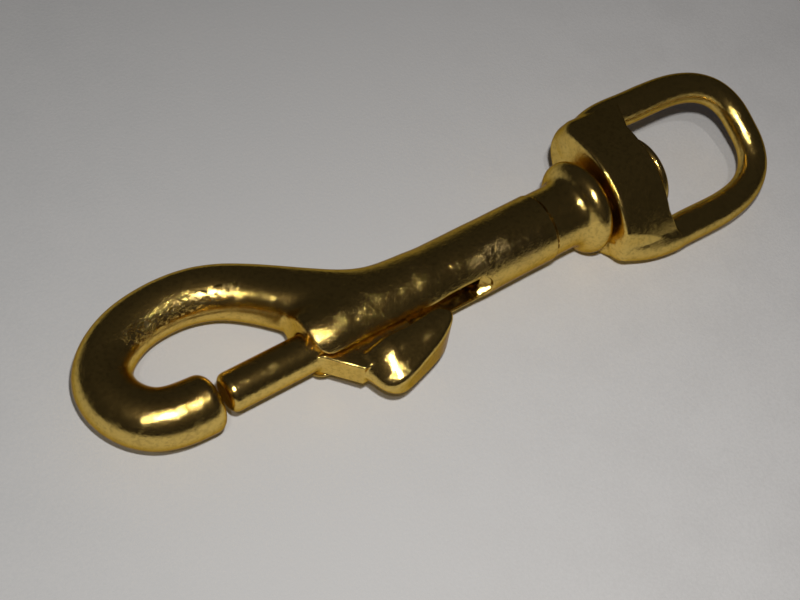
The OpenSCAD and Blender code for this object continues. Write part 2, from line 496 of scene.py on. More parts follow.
class Graph:
    """A node tree: a material's, or the one that winds the spring."""

    FULL = 0.35  # share of a spot's reach over which its mask stays 1

    def __init__(self, tree: bpy.types.NodeTree) -> None:
        """Empties the tree."""
        self.tree = tree
        tree.nodes.clear()

    def add(
        self,
        kind: str,
        settings: dict[str, Any] | None = None,
        values: dict[Any, Any] | None = None,
        output: str | int = 0,
    ) -> Wire:
        """Adds a node.

        Args:
            kind: Blender's name for the type of node.
            settings: attributes, set before the sockets.
            values: a number, colour or Wire for each input, by name or number.
            output: the output that is returned.

        Returns:
            The chosen output.
        """
        node = self.tree.nodes.new(kind)
        for key, value in (settings or {}).items():
            setattr(node, key, value)
        for key, value in (values or {}).items():
            socket = node.inputs[key]
            if isinstance(value, Wire):
                self.tree.links.new(value.socket, socket)
            else:
                socket.default_value = value
        return Wire(self, node.outputs[output])

    def math(self, operation: str, *terms: Any) -> Wire:
        """Adds a Math node over the terms."""
        return self.add("ShaderNodeMath", {"operation": operation}, dict(enumerate(terms)))

    def place(self) -> Wire:
        """The object's own coordinates, in metres."""
        return self.add("ShaderNodeTexCoord", output="Object")

    def noise(
        self, at: Wire, size: float, detail: float = 2.0, rough: float = 0.5, bend: float = 0.0
    ) -> Wire:
        """Cloudy noise from 0 to 1.

        Args:
            at: coordinates.
            size: size of its features in millimetres.
            detail: octaves.
            rough: weight of the finer octaves.
            bend: distortion.

        Returns:
            The value.
        """
        return self.add(
            "ShaderNodeTexNoise",
            None,
            {
                "Vector": at,
                "Scale": 1.0 / (size * MM),
                "Detail": detail,
                "Roughness": rough,
                "Distortion": bend,
            },
        )

    def stretch(self, at: Wire, scale: Sequence[float], turn: Sequence[float] = (0, 0, 0)) -> Wire:
        """Turns and squeezes coordinates, so that a pattern on them runs one way.

        Args:
            at: coordinates.
            scale: how many times finer the pattern is along each axis.
            turn: turn about each axis, in radians.

        Returns:
            The new coordinates.
        """
        return self.add(
            "ShaderNodeMapping",
            {"vector_type": "POINT"},
            {"Vector": at, "Rotation": turn, "Scale": scale},
        )

    def split(self, at: Wire) -> tuple[Wire, Wire, Wire]:
        """Takes a vector apart.

        Args:
            at: the vector.

        Returns:
            Its three parts.
        """
        first = self.add("ShaderNodeSeparateXYZ", None, {0: at})
        outs = first.socket.node.outputs
        return Wire(self, outs[0]), Wire(self, outs[1]), Wire(self, outs[2])

    def mix(self, amount: Wire | float, a: Any, b: Any) -> Wire:
        """Mixes two colours.

        Args:
            amount: 0 for the first colour, 1 for the second.
            a: the first colour.
            b: the second colour.

        Returns:
            The mixed colour.
        """
        a, b = ((*value, 1.0) if isinstance(value, tuple) else value for value in (a, b))
        return self.add("ShaderNodeMix", {"data_type": "RGBA"}, {0: amount, 6: a, 7: b}, 2)

    def near(self, at: Wire, centre: Sequence[float], radius: Sequence[float]) -> Wire:
        """1 at a place on the part, falling to 0 at the given radii.

        Args:
            at: coordinates.
            centre: place along the barrel's axes, in millimetres.
            radius: reach along each axis, in millimetres.

        Returns:
            The mask.
        """
        spot = DATUM.metres(np.array(centre))
        away = self.add(
            "ShaderNodeVectorMath", {"operation": "SUBTRACT"}, {0: at, 1: tuple(spot)}
        )
        scaled = self.add(
            "ShaderNodeVectorMath",
            {"operation": "MULTIPLY"},
            {0: away, 1: tuple(1.0 / (r * MM) for r in radius)},
        )
        far = self.add("ShaderNodeVectorMath", {"operation": "LENGTH"}, {0: scaled}, "Value")
        return 1.0 - far.ramp(self.FULL, 1.0)

    def bump(self, height: Wire, depth: float, over: Wire | None = None) -> Wire:
        """A normal from a height.

        Args:
            height: height from 0 to 1.
            depth: height of 1, in millimetres.
            over: another bump under this one.

        Returns:
            The normal.
        """
        values: dict[Any, Any] = {"Height": height, "Strength": 1.0, "Distance": depth * MM}
        if over is not None:
            values["Normal"] = over
        return self.add("ShaderNodeBump", None, values)

    def metal(self, colour: Wire, roughness: Any, normal: Wire) -> Wire:
        """A bare metal surface.

        Args:
            colour: its reflectance.
            roughness: how widely it scatters.
            normal: its relief.

        Returns:
            The shader.
        """
        return self.add(
            "ShaderNodeBsdfPrincipled",
            None,
            {
                "Base Color": colour,
                "Metallic": 1.0,
                "Roughness": roughness,
                "Specular Tint": EDGE_TINT,
                "Normal": normal,
            },
        )

    def end(self, last: Wire, kind: str = "ShaderNodeOutputMaterial") -> None:
        """Ends the tree in its output."""
        out = self.tree.nodes.new(kind)
        self.tree.links.new(last.socket, out.inputs[0])


class Wear(Enum):
    """How a brass surface was left: the grain's stretch along and across the barrel."""

    TUMBLED = (1.0, 1.0)
    TURNED = (3.0, 0.35)


@dataclass(frozen=True)
class Spot:
    """A place on the part and its reach, in millimetres along the barrel's axes."""

    centre: tuple[float, float, float]
    reach: tuple[float, float, float]
    amount: float = 1.0


class Finish:
    """What every surface finish shares."""

    name: str

    def surface(self, g: Graph) -> Wire:
        """Lays the finish out in a graph and returns its shader."""
        raise NotImplementedError

    @staticmethod
    def darker(colour: Sequence[float], share: float) -> tuple[float, ...]:
        """Returns a colour at a share of its brightness."""
        return tuple(part * share for part in colour)

    def material(self) -> bpy.types.Material:
        """Makes the material.

        Returns:
            A new material with the finish.
        """
        made = bpy.data.materials.new(self.name)
        made.use_nodes = True
        g = Graph(made.node_tree)
        g.end(self.surface(g))
        return made


@dataclass(frozen=True)
class Brass(Finish):
    """Cast or turned brass: a sharp and a hazy reflection over tumbled grain, tarnish and pits, with
    painted shade in the pits' hollows.

    Widths and depths are in millimetres.
    """

    name: str
    colour: tuple[float, float, float] = (0.78, 0.555, 0.148)
    tarnish: tuple[float, float, float] = (0.42, 0.30, 0.12)
    warm: tuple[float, float, float] = (0.86, 0.45, 0.12)
    polish: float = 0.115
    haze: float = 0.38
    haze_share: float = 0.085
    grain: float = 0.12
    grain_width: float = 0.62
    fine_width: float = 0.17
    calm: float = 0.35
    scratch: float = 0.003
    rough_depth: float = 0.13
    pit_depth: float = 0.16
    file_depth: float = 0.22
    coarse: tuple[Spot, ...] = ()
    wear: Wear = Wear.TUMBLED
    rough: tuple[Spot, ...] = ()
    pits_and_shade: tuple[Spot, ...] = ()
    filed: tuple[Spot, ...] = ()

    @staticmethod
    def cover(g: Graph, at: Wire, spots: Sequence[Spot]) -> Wire | None:
        """Masks a set of spots.

        Args:
            g: the graph of the material.
            at: coordinates.
            spots: the spots, if any.

        Returns:
            A mask over the spots, or None where there are none.
        """
        total = None
        for spot in spots:
            mask = g.near(at, spot.centre, spot.reach) * spot.amount
            total = mask if total is None else total.most(mask)
        return total

    def scratches(self, g: Graph, at: Wire) -> Wire:
        """Draws two sets of fine scratches that cross.

        Args:
            g: the graph of the material.
            at: coordinates.

        Returns:
            1 on a scratch, 0 beside it.
        """
        long_way = g.noise(g.stretch(at, (1.0, 9.0, 9.0), (0.0, 0.2, 0.5)), 1.1, 2.0, 0.6) - 0.5
        cross_way = g.noise(g.stretch(at, (9.0, 1.0, 9.0), (0.3, 0.0, -0.35)), 1.3, 2.0, 0.6) - 0.5
        wide, narrow = 900.0, 1300.0
        lines = (1.0 - long_way * long_way * wide).most(1.0 - cross_way * cross_way * narrow)
        return lines.most(0.0)

    def surface(self, g: Graph) -> Wire:
        """Lays the finish out.

        Args:
            g: the graph of the material.

        Returns:
            The shader.
        """
        at = g.place()
        along, across = self.wear.value
        worn = g.stretch(at, (along, across, across))
        clouds = g.noise(at, 6.0, 3.0, 0.55)
        patches = g.noise(at, 2.0, 4.0, 0.62, 0.4)
        grain = g.noise(worn, self.grain_width, 3.0, 0.66, 0.3)
        fine = g.noise(worn, self.fine_width, 2.0, 0.6)

        # grain, deepest on the coarse spots
        keen = clouds.ramp(0.30, 0.70) * 0.45 + 0.55
        coarse = self.cover(g, at, self.coarse)
        depth = keen * self.calm
        if coarse is not None:
            depth = keen * (coarse * (1.0 - self.calm) + self.calm)
        relief = g.bump(grain * depth, self.grain)
        relief = g.bump(fine * depth, self.grain * 0.4, relief)
        relief = g.bump(self.scratches(g, at) * patches.ramp(0.42, 0.62), self.scratch, relief)

        # tarnish in patches
        stain_and_shade = patches.ramp(0.52, 0.76) * clouds.ramp(0.40, 0.66) * 0.55
        share = self.haze_share + stain_and_shade * 0.25
        rough = self.cover(g, at, self.rough)
        if rough is not None:
            rough = rough * patches.ramp(0.34, 0.56)
            stain_and_shade = stain_and_shade.most(rough * 0.95)
            share = share.most(rough * 0.14)
            relief = g.bump(g.noise(at, 0.5, 4.0, 0.72) * rough, self.rough_depth, relief)

        # casting pits: bright crumbs in bump, with painted shade in the dark hollows between them, over
        # the band that reflects the dark room
        pits_and_shade = self.cover(g, at, self.pits_and_shade)
        if pits_and_shade is not None:
            crumbs = g.noise(at, 0.9, 4.0, 0.62, 0.6)
            inside = pits_and_shade.ramp(0.05, 0.45)
            # painted shade: the hollows between the crumbs are darkened towards the tarnish colour
            stain_and_shade = stain_and_shade.most(inside * (1.0 - crumbs.ramp(0.40, 0.52)) * 0.9)
            relief = g.bump(crumbs.ramp(0.47, 0.56) * inside, self.pit_depth, relief)

        # marks of a file
        filed = self.cover(g, at, self.filed)
        if filed is not None:
            marks = g.noise(g.stretch(at, (1.0, 0.22, 0.22), (0.0, 0.0, 0.25)), 0.42, 3.0, 0.6)
            relief = g.bump(marks * filed, self.file_depth, relief)

        # the colour takes the tarnish patches and the painted shade of the pits
        colour = g.mix(stain_and_shade, self.colour, self.tarnish)
        colour = g.mix(grain.ramp(0.46, 0.66) * 0.50, colour, self.darker(self.colour, 0.50))
        sharp = g.metal(colour, self.polish + stain_and_shade * 0.16, relief)
        hazy = g.metal(g.mix(0.5, colour, self.warm), self.haze, relief)
        return g.add("ShaderNodeMixShader", None, {0: share, 1: sharp, 2: hazy})


@dataclass(frozen=True)
class Paper(Finish):
    """Plain pale paper with faint fibres, and painted shade: darker to one side and far from the part,
    where the lamp's light falls off.
    """

    name: str = "paper"
    colour: tuple[float, float, float] = (0.93, 0.915, 0.90)
    shade: tuple[float, float, float] = (0.64, 0.64, 0.635)
    far_shade: tuple[float, float, float] = (0.16, 0.155, 0.15)
    shade_way: tuple[float, float] = (0.82, 0.57)
    shade_reach: float = 0.085
    far_shade_span: tuple[float, float] = (0.14, 0.40)
    hair_count: float = 5000.0

    def surface(self, g: Graph) -> Wire:
        """Lays the finish out: brighter to one side and dark far away, as painted shade of the lamp's
        fall-off, with fibres.

        Args:
            g: the graph of the material.

        Returns:
            The shader.
        """
        at = g.place()
        tooth = g.noise(at, 0.5, 4.0, 0.65)
        cloud = g.noise(at, 9.0, 3.0, 0.5)
        fibre = g.noise(g.stretch(at, (1.0, 6.0, 1.0), (0.0, 0.0, 0.7)), 2.4, 2.0, 0.5, 1.5) - 0.5
        hair = (1.0 - fibre * fibre * self.hair_count).most(0.0) * cloud.ramp(0.50, 0.70)
        mottle = (tooth * 0.6 + cloud * 0.4).ramp(0.30, 0.70)
        # painted shade: the colour runs from the shade colour to the paper's own colour across the view,
        # like the lamp's fall-off to one side
        x, y, _ = g.split(at)
        across = x * self.shade_way[0] - y * self.shade_way[1]
        across = across.ramp(-self.shade_reach, self.shade_reach)
        base = g.mix(across, self.shade, self.colour)
        colour = g.mix(mottle * 0.5, base, self.darker(self.colour, 0.80))
        colour = g.mix(hair * 0.22, colour, self.darker(self.colour, 0.7))
        # painted shade: far from the part the paper fades to a dark colour, standing in for the lamp's
        # light falling off
        far = g.add("ShaderNodeVectorMath", {"operation": "LENGTH"}, {0: at}, "Value")
        colour = g.mix(far.ramp(*self.far_shade_span), colour, self.far_shade)
        return g.add(
            "ShaderNodeBsdfPrincipled",
            None,
            {
                "Base Color": colour,
                "Metallic": 0.0,
                "Roughness": 0.85,
                "Normal": g.bump(tooth, 0.05),
                "Specular IOR Level": 0.2,
            },
        )


@dataclass(frozen=True)
class Steel(Finish):
    """Drawn spring wire."""

    name: str = "spring_wire"
    colour: tuple[float, float, float] = (0.42, 0.40, 0.37)

    def surface(self, g: Graph) -> Wire:
        """Lays the finish out.

        Args:
            g: the graph of the material.

        Returns:
            The shader.
        """
        marks = g.noise(g.place(), 0.25, 3.0, 0.6)
        colour = g.mix(marks.ramp(0.4, 0.7), self.colour, self.darker(self.colour, 0.6))
        return g.metal(colour, 0.3 + marks * 0.15, g.bump(marks, 0.01))


# ------------------------------------------------------------------- the pieces


@dataclass
class Bore:
    """The round way for the bolt and the slot beside it, in millimetres from the mouth."""

    radius: float = 3.03
    drop: float = 1.1
    start: float = -4.0
    end: float = 43.25
    chamber: float = 2.35
    chamber_x: float = 28.6
    slot_width: float = 5.0
    slot_start: float = -6.0
    slot_end: float = 30.2
    lobe: float = 2.4
    slot_edge: float = 0.7
    round_edge: float = 0.35
    facet_way: tuple[float, float, float] = (-0.412, -0.379, 0.828)
    facet_place: tuple[float, float, float] = (-1.2, -4.6, -0.9)
    wall_way: tuple[float, float] = (-0.50, -0.86)
    wall_y: float = -4.9
    cap_middle: float = 0.3
    cap_reach: float = 2.5
    cap_radius: float = 5.3

    def round_way(self, p: Points) -> Values:
        """Shapes the bore, wider where the bolt runs than where the spring sits.

        Args:
            p: points.

        Returns:
            The distances to it.
        """
        wide = np.where(p[:, 0] < self.chamber_x, self.radius, self.chamber)
        ring = np.hypot(p[:, 1] + self.drop, p[:, 2]) - wide
        return np.maximum(ring, np.maximum(self.start - p[:, 0], p[:, 0] - self.end))

    def slot_way(self, p: Points) -> Values:
        """Shapes the slot, with its lobes at the mouth.

        Args:
            p: points.

        Returns:
            The distances to it.
        """
        half = self.slot_width / 2
        x = p[:, 0]
        reach = np.clip(x, -20.0, self.slot_end - half)
        stadium = np.hypot(x - reach, p[:, 2]) - half
        face = meet(-x, -stadium, self.lobe)
        return np.maximum(-face, np.maximum(p[:, 1] + self.drop, self.slot_start - x))

    def slot_cap(self, p: Points) -> Values:
        """Shapes the metal that the cutter left at the slot's end: a wall over a flat facet.

        Args:
            p: points.

        Returns:
            The distances to it.
        """
        x, y, z = p.T
        (ax, ay, az), (px, py, pz) = self.facet_way, self.facet_place
        facet = ax * (x - self.slot_end - px) + ay * (y - py) + az * (z - pz)
        wall = self.wall_way[0] * (x - self.slot_end) + self.wall_way[1] * (y - self.wall_y)
        solid = np.minimum(facet, wall)
        length = np.abs(x - self.slot_end - self.cap_middle) - self.cap_reach
        span = np.maximum(length, np.abs(z) - self.slot_width / 2 - 0.3)
        inside = np.maximum(y + self.drop, np.hypot(y, z) - self.cap_radius)
        return np.maximum(np.maximum(solid, span), inside)


@dataclass
class SnapBody:
    """The one-piece casting: barrel, hook, neck and collar, in millimetres from the mouth."""

    bore: Bore = field(default_factory=Bore)
    barrel_radius: float = 5.5
    mouth_wear: float = 0.60
    wear_length: float = 4.2
    mouth_round: float = 0.7
    step_x: float = 42.7
    step_round: float = 0.12
    neck_radius: float = 5.3
    neck_middle: float = 46.5
    neck_reach: float = 5.5
    crest_x: float = 50.9
    collar_radius: float = 7.6
    bead: float = 1.55
    face_x: float = 52.45
    collar_blend: float = 3.6
    pin_radius: float = 2.6
    pin_start: float = 42.0
    hook_reach: float = 26.2
    hook_rise: float = 16.0
    hook_bar: float = 4.1
    hook_blend: float = 2.2
    ridge: float = 1.0
    swell: float = 0.075
    swell_x: float = -15.6
    swell_reach: float = 2.6
    tip_x: float = -14.51
    tip_round: float = 1.8
    tip_below: float = 6.0
    tip_before: float = -5.0
    cell: float = 0.3

    def __post_init__(self) -> None:
        """Lays the hook's centreline: place, radius, and how square its inner side is."""
        reach, rise, bar = self.hook_reach, self.hook_rise, self.hook_bar
        knots = [
            (-11.0, -1.25, 4.16, 2.0),
            (-14.51, -1.1, 1.02 * bar, 2.0),
            (-0.643 * reach, -0.061 * rise, 1.04 * bar, 2.0),
            (-0.874 * reach, 0.022 * rise, 1.06 * bar, 2.0),
            (-0.989 * reach, 0.249 * rise, 1.055 * bar, 2.0),
            (-1.001 * reach, 0.578 * rise, 1.04 * bar, 2.0),
            (-0.858 * reach, 0.849 * rise, 0.995 * bar, 2.0),
            (-0.566 * reach, 0.999 * rise, 0.97 * bar, 2.0),
            (-0.269 * reach, 0.939 * rise, 0.98 * bar, 2.1),
            (-0.008 * reach, 0.677 * rise, 1.01 * bar, 2.5),
            (5.6, 5.6, 4.79, 2.4),
            (12.2, 1.52, 5.12, 2.2),
            (19.0, 0.16, 5.17, 2.0),
        ]
        self.path = SmoothPath(knots, 140)
        self.ripple = Ripple(0.012, 7.0, 11)

    def hook(self, p: Points) -> Values:
        """Shapes the hook bar and its shank: ridged over the root, swollen behind the tip.

        Args:
            p: points.

        Returns:
            The distances to them.
        """
        side, rows = self.path.nearest(p[:, :2])
        radius, power = rows[:, 2], np.clip(rows[:, 3], 2.0, 4.0)
        away = np.hypot(*(p[:, :2] - rows[:, :2]).T)
        above = np.clip((p[:, 1] - 4.0) / 8.0, 0.0, 1.0)
        before = np.clip((1.0 - p[:, 0]) / 8.0, 0.0, 1.0)
        lean = self.ridge * above * before
        across = np.sign(side) * away - lean
        span = np.where(across < 0, radius + lean, radius - lean * 1.1)
        below = p[:, 1] < self.tip_below
        swell = 1.0 + self.swell * np.exp(-((p[:, 0] - self.swell_x) / self.swell_reach) ** 2) * below
        bar = (norm_of(across / span, p[:, 2] / (radius * swell), power) - 1.0) * radius
        tip = np.where(below & (p[:, 0] < self.tip_before), p[:, 0] - self.tip_x, INSIDE)
        return meet(bar, tip, self.tip_round)

    def barrel(self, p: Points) -> Values:
        """Shapes the barrel, neck and collar before they are bored.

        Args:
            p: points.

        Returns:
            The distances to them.
        """
        x, rim = p[:, 0], np.hypot(p[:, 1], p[:, 2])
        worn = self.mouth_wear * np.clip(1.0 - x / self.wear_length, 0.0, 1.2) ** 2
        barrel = meet(rim - self.barrel_radius + worn, -x, self.mouth_round)
        barrel = meet(barrel, x - self.step_x, self.step_round)
        neck = np.maximum(rim - self.neck_radius, np.abs(x - self.neck_middle) - self.neck_reach)
        ring = self.collar_radius - self.bead
        bead = np.hypot(x - self.crest_x, rim - ring) - self.bead
        middle, half = (self.crest_x + self.face_x) / 2, (self.face_x - self.crest_x) / 2
        disc = np.maximum(rim - ring, np.abs(x - middle) - half)
        turned = blend(neck, np.minimum(bead, disc), self.collar_blend)
        return np.minimum(barrel, np.maximum(turned, x - self.face_x))

    def form(self, p: Points) -> Values:
        """Shapes the finished casting.

        Args:
            p: points.

        Returns:
            The distances to it.
        """
        solid = blend(self.barrel(p), self.hook(p), self.hook_blend) + self.ripple(p)
        solid = carve(solid, self.bore.slot_way(p), self.bore.slot_edge)
        solid = np.minimum(solid, self.bore.slot_cap(p))
        solid = carve(solid, self.bore.round_way(p), self.bore.round_edge)
        pin = np.maximum(np.hypot(p[:, 1], p[:, 2]) - self.pin_radius, self.pin_start - p[:, 0])
        return np.maximum(solid, -pin)

    def build(self, finish: Brass) -> bpy.types.Object:
        """Makes and places the casting.

        Args:
            finish: its surface.

        Returns:
            The piece.
        """
        cast = Casting(self.form, (-31.4, -8.6, -8.2), (53.4, 21.0, 8.2), self.cell)
        piece = cast.piece("snap_casting", finish.material())
        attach(piece, "body")
        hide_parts("snap_body")
        return piece


@dataclass
class Plunger:
    """The sliding bolt with its web and thumb piece, one casting, in millimetres."""

    drop: float = 1.1
    radius: float = 2.95
    nose_x: float = -13.31
    nose_edge: float = 1.1
    tail_x: float = 15.2
    guide_radius: float = 1.2
    guide_end: float = 22.2
    web_half: float = 2.05
    web_end: float = 14.6
    web_y: tuple[float, float] = (-8.6, -3.6)
    slant_way: tuple[float, float] = (0.764, 0.645)
    slant_place: tuple[float, float] = (1.5, -4.8)
    thumb_half: float = 3.9
    fall_x: float = 0.125
    fall_y: float = 0.085
    fall_start: tuple[float, float] = (9.8, -7.2)
    fall_bend: float = 2.5
    steepest: float = 1.5
    thumb_round: float = 0.6
    cell: float = 0.2

    def __post_init__(self) -> None:
        """Lays the outline of the thumb piece on its middle plane."""
        outline = [
            (4.5, -7.7), (5.15, -9.3), (5.65, -11.1), (6.5, -12.4), (7.9, -13.0), (9.8, -12.9),
            (12.5, -12.1), (15.7, -11.0), (18.4, -9.7), (20.1, -7.7), (19.2, -6.5), (15.4, -6.3),
            (10.6, -6.3), (7.0, -6.3), (5.1, -6.5),
        ]
        ring = outline + outline[:3]
        path = SmoothPath(ring, 20)
        u = np.linspace(path.knots[1], path.knots[-2], 161)[:-1]
        self.outline = path.at(u)[:, :2]

    def outline_distance(self, flat: Points) -> Values:
        """Measures how far points lie from the thumb piece's outline.

        Args:
            flat: points on the middle plane.

        Returns:
            The distances, negative inside.
        """
        best = np.full(len(flat), np.inf)
        inside = np.zeros(len(flat), bool)
        for (ax, ay), (bx, by) in zip(self.outline, np.roll(self.outline, -1, axis=0)):
            ex, ey = bx - ax, by - ay
            wx, wy = flat[:, 0] - ax, flat[:, 1] - ay
            t = np.clip((wx * ex + wy * ey) / (ex * ex + ey * ey), 0, 1)
            best = np.minimum(best, (wx - ex * t) ** 2 + (wy - ey * t) ** 2)
            spans = (ay > flat[:, 1]) != (by > flat[:, 1])
            if abs(ey) > TINY:
                inside ^= spans & (flat[:, 0] < ax + ex * (flat[:, 1] - ay) / ey)
        return np.where(inside, -1.0, 1.0) * np.sqrt(best)

    def form(self, p: Points) -> Values:
        """Shapes the bolt: a rod with a thin guide behind it, the web and the thumb piece.

        Args:
            p: points.

        Returns:
            The distances to it.
        """
        x, y, z = p.T
        rim = np.hypot(y + self.drop, z)
        middle, half = (self.nose_x + self.tail_x) / 2, (self.tail_x - self.nose_x) / 2
        rod = meet(rim - self.radius, np.abs(x - middle) - half, self.nose_edge)
        length = np.abs(x - self.tail_x) - (self.guide_end - self.tail_x)
        rod = np.minimum(rod, np.maximum(rim - self.guide_radius, length))
        (ax, ay), (px, py) = self.slant_way, self.slant_place
        slant = (x - px) * ax + (y - py) * ay
        low, high = self.web_y
        web = np.maximum(np.maximum(x - self.web_end, -slant), np.maximum(low - y, y - high))
        web = meet(web, np.abs(z) - self.web_half, 0.3)
        return blend(rod, blend(web, self.thumb(p), 0.6), 0.9)

    def thumb(self, p: Points) -> Values:
        """Shapes the thumb piece: drafted flanks under a face that falls away to two sides.

        Args:
            p: points.

        Returns:
            The distances to it.
        """
        x, y, z = p.T
        left = np.maximum(self.fall_start[0] - x, 0.0)
        low = np.maximum(self.fall_start[1] - y, 0.0)
        gentle = np.minimum(low, self.fall_bend)
        straight = 2 * self.fall_bend * (low - gentle)
        fall = self.fall_x * left**2 + self.fall_y * (gentle**2 + straight)
        slope = np.hypot(2 * self.fall_x * left, 2 * self.fall_y * gentle)
        face = np.abs(z) - self.thumb_half + fall
        face = face / np.hypot(1.0, np.minimum(slope, self.steepest))
        return meet(self.outline_distance(p[:, :2]), face, self.thumb_round)

    def build(self, finish: Brass) -> bpy.types.Object:
        """Makes and places the bolt.

        Args:
            finish: its surface.

        Returns:
            The piece.
        """
        cast = Casting(self.form, (-14.0, -14.2, -4.4), (23.0, 2.6, 4.4), self.cell)
        piece = cast.piece("bolt_casting", finish.material())
        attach(piece, "bolt")
        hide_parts("plunger")
        return piece


@dataclass
class SwivelEye:
    """The cast loop with its arched crossbar, in millimetres.

    Pairs give a size for each half of the crossbar: the near one first.
    """

    back_x: float = 53.45
    front_x: float = 62.65
    half_width: float = 10.75
    arm: float = 2.7
    bow: float = 2.325
    arm_end: float = 71.65
    bow_length: float = 15.4
    bow_power: float = 2.75
    arch_height: float = 7.45
    arch_drop: tuple[float, float] = (0.037, 0.0355)
    arch_reach: float = 12.0
    flank_way: tuple[float, float] = (0.86, 0.48)
    flank_y: float = 8.3
    flank_z: float = 4.6
    flank_taper: float = 0.27
    plan_half: tuple[float, float] = (13.3, 12.5)
    plan_corner: float = 3.2
    flare: tuple[float, float] = (0.35, 0.55)
    flare_y: float = 7.4
    front_slope: float = 0.88
    loop_blend: float = 0.35
    inner_blend: float = 1.1
    hole: float = 3.05
    hole_edge: float = 0.4
    turn: float = 26.0
    lean: float = 1.4
    shift: float = 0.2
    cell: float = 0.22

    def __post_init__(self) -> None:
        """Lays the centreline of the loop."""
        w = self.half_width
        side = [
            (self.back_x + 2.3, w - 2.0, self.arm),
            (self.back_x + 5.0, w - 0.9, self.arm),
            (self.front_x, w, self.arm),
            (self.front_x + 4.5, w, self.arm),
        ]
        power = 2.0 / self.bow_power
        for a in np.radians(np.arange(0, 91, 15)):
            side.append((
                self.arm_end + self.bow_length * math.sin(a) ** power,
                w * max(math.cos(a), 0.0) ** power,
                self.arm + (self.bow - self.arm) * math.sin(a),
            ))
        other = [(x, -y, r) for x, y, r in reversed(side[:-1])]
        self.path = SmoothPath(side + other, 160)
        self.ripple = Ripple(0.010, 6.0, 23)

    def own(self, p: Points) -> Points:
        """Turns points back into the eye's own axes.

        Args:
            p: points.

        Returns:
            The same points, as the eye lies before it is turned and leant.
        """
        t, a = math.radians(self.turn), math.radians(-self.lean)
        y = math.cos(t) * p[:, 1] + math.sin(t) * p[:, 2]
        z = -math.sin(t) * p[:, 1] + math.cos(t) * p[:, 2]
        middle = (self.back_x + self.front_x) / 2
        x, y = p[:, 0] - middle, y - self.shift
        return np.stack([
            math.cos(a) * x + math.sin(a) * y + middle,
            -math.sin(a) * x + math.cos(a) * y,
            z,
        ], 1)

    def form(self, p: Points) -> Values:
        """Shapes the eye.

        Args:
            p: points.

        Returns:
            The distances to it.
        """
        q = self.own(p)
        x, y, z = q.T
        near = y < 0
        side, back = np.abs(y), self.back_x - x

        # the loop
        _, rows = self.path.nearest(q[:, :2])
        away = np.hypot(*(q[:, :2] - rows[:, :2]).T)
        loop = np.hypot(away, z) - rows[:, 2]

        # the crossbar's arch, with its near flank cut back
        slope = 2 * self.arch_drop[0] * np.minimum(side, self.arch_reach)
        drop = np.where(near, *self.arch_drop)
        arch = (np.abs(z) - (self.arch_height - drop * y * y)) / np.sqrt(1 + slope**2)
        flank = self.flank_way[0] * (side - self.flank_y + self.flank_taper * back)
        flank = flank + self.flank_way[1] * (np.abs(z) - self.flank_z)
        top = meet(arch, np.where(near, flank, INSIDE), 0.3)

        # its plan, and the front that flares towards the arms
        plan = meet(side - np.where(near, *self.plan_half), back, self.plan_corner)
        flare = np.maximum(side - self.flare_y, 0.0) * np.where(near, *self.flare)
        block = meet(meet(top, plan, 0.9), (x - self.front_x - flare) * self.front_slope, 0.3)

        inner = np.clip((-8.6 - y) / 2.5, 0.0, 1.0)
        solid = blend(block, loop, self.loop_blend + self.inner_blend * inner)
        solid = meet(solid, back, 0.5) + self.ripple(p)
        hole = np.maximum(np.hypot(y, z) - self.hole, x - self.front_x - 1.5)
        return carve(solid, hole, self.hole_edge)

    def build(self, finish: Brass) -> bpy.types.Object:
        """Makes and places the eye.

        Args:
            finish: its surface.

        Returns:
            The piece.
        """
        cast = Casting(self.form, (52.6, -16.2, -10.2), (91.0, 16.2, 10.2), self.cell)
        piece = cast.piece("eye_casting", finish.material())
        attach(piece, "eye")
        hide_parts("swivel_eye")
        return piece


@dataclass
class SwivelPin:
    """The headed pin that the eye turns on, in millimetres."""

    radius: float = 2.6
    chamfer: float = 0.3
    start_x: float = 43.25
    head_x: float = 63.15
    head_radius: float = 6.7
    head_thick: float = 2.4
    lip: float = 0.7
    lip_x: float = 0.75
    lip_half: float = 0.72
    dome: float = 0.95
    sides: int = 96

    def profile(self) -> list[tuple[float, float]]:
        """Lays the pin's outline, from its tail to the middle of its head.

        Returns:
            The station and the radius of each place.
        """
        rim = self.head_radius - self.lip
        top = self.head_x + self.head_thick
        points = [
            (self.start_x, 0.0),
            (self.start_x, self.radius - self.chamfer),
            (self.start_x + self.chamfer, self.radius),
            (self.head_x - self.chamfer, self.radius),
            (self.head_x, self.radius + self.chamfer),
            (self.head_x, rim - 0.1),
        ]
        for a in np.radians(np.arange(-75, 61, 15)):
            place = self.head_x + self.lip_x + self.lip_half * math.sin(a)
            points.append((place, rim + self.lip * math.cos(a)))
        for share in np.linspace(0.94, 0.0, 12):
            points.append((top - self.dome * share**2, rim * share))
        return points

    def build(self, finish: Brass) -> bpy.types.Object:
        """Turns and places the pin.

        Args:
            finish: its surface.

        Returns:
            The piece.
        """
        rows = self.profile()
        angles = np.linspace(0, 2 * math.pi, self.sides, endpoint=False)
        points = [(rows[0][0], 0.0, 0.0)]
        for x, r in rows[1:-1]:
            points += [(x, r * math.cos(a), r * math.sin(a)) for a in angles]
        points.append((rows[-1][0], 0.0, 0.0))
        n, rings = self.sides, len(rows) - 2
        faces: list[list[int]] = []
        for k in range(n):
            after = (k + 1) % n
            faces.append([0, 1 + after, 1 + k])
            for j in range(rings - 1):
                a, b = 1 + j * n, 1 + (j + 1) * n
                faces.append([a + k, a + after, b + after, b + k])
            last = 1 + (rings - 1) * n
            faces.append([last + k, last + after, len(points) - 1])
        piece = new_piece("swivel_pin_turned", DATUM.metres(np.array(points)), faces, finish.material())
        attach(piece, "body")
        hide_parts("swivel_pin")
        return piece


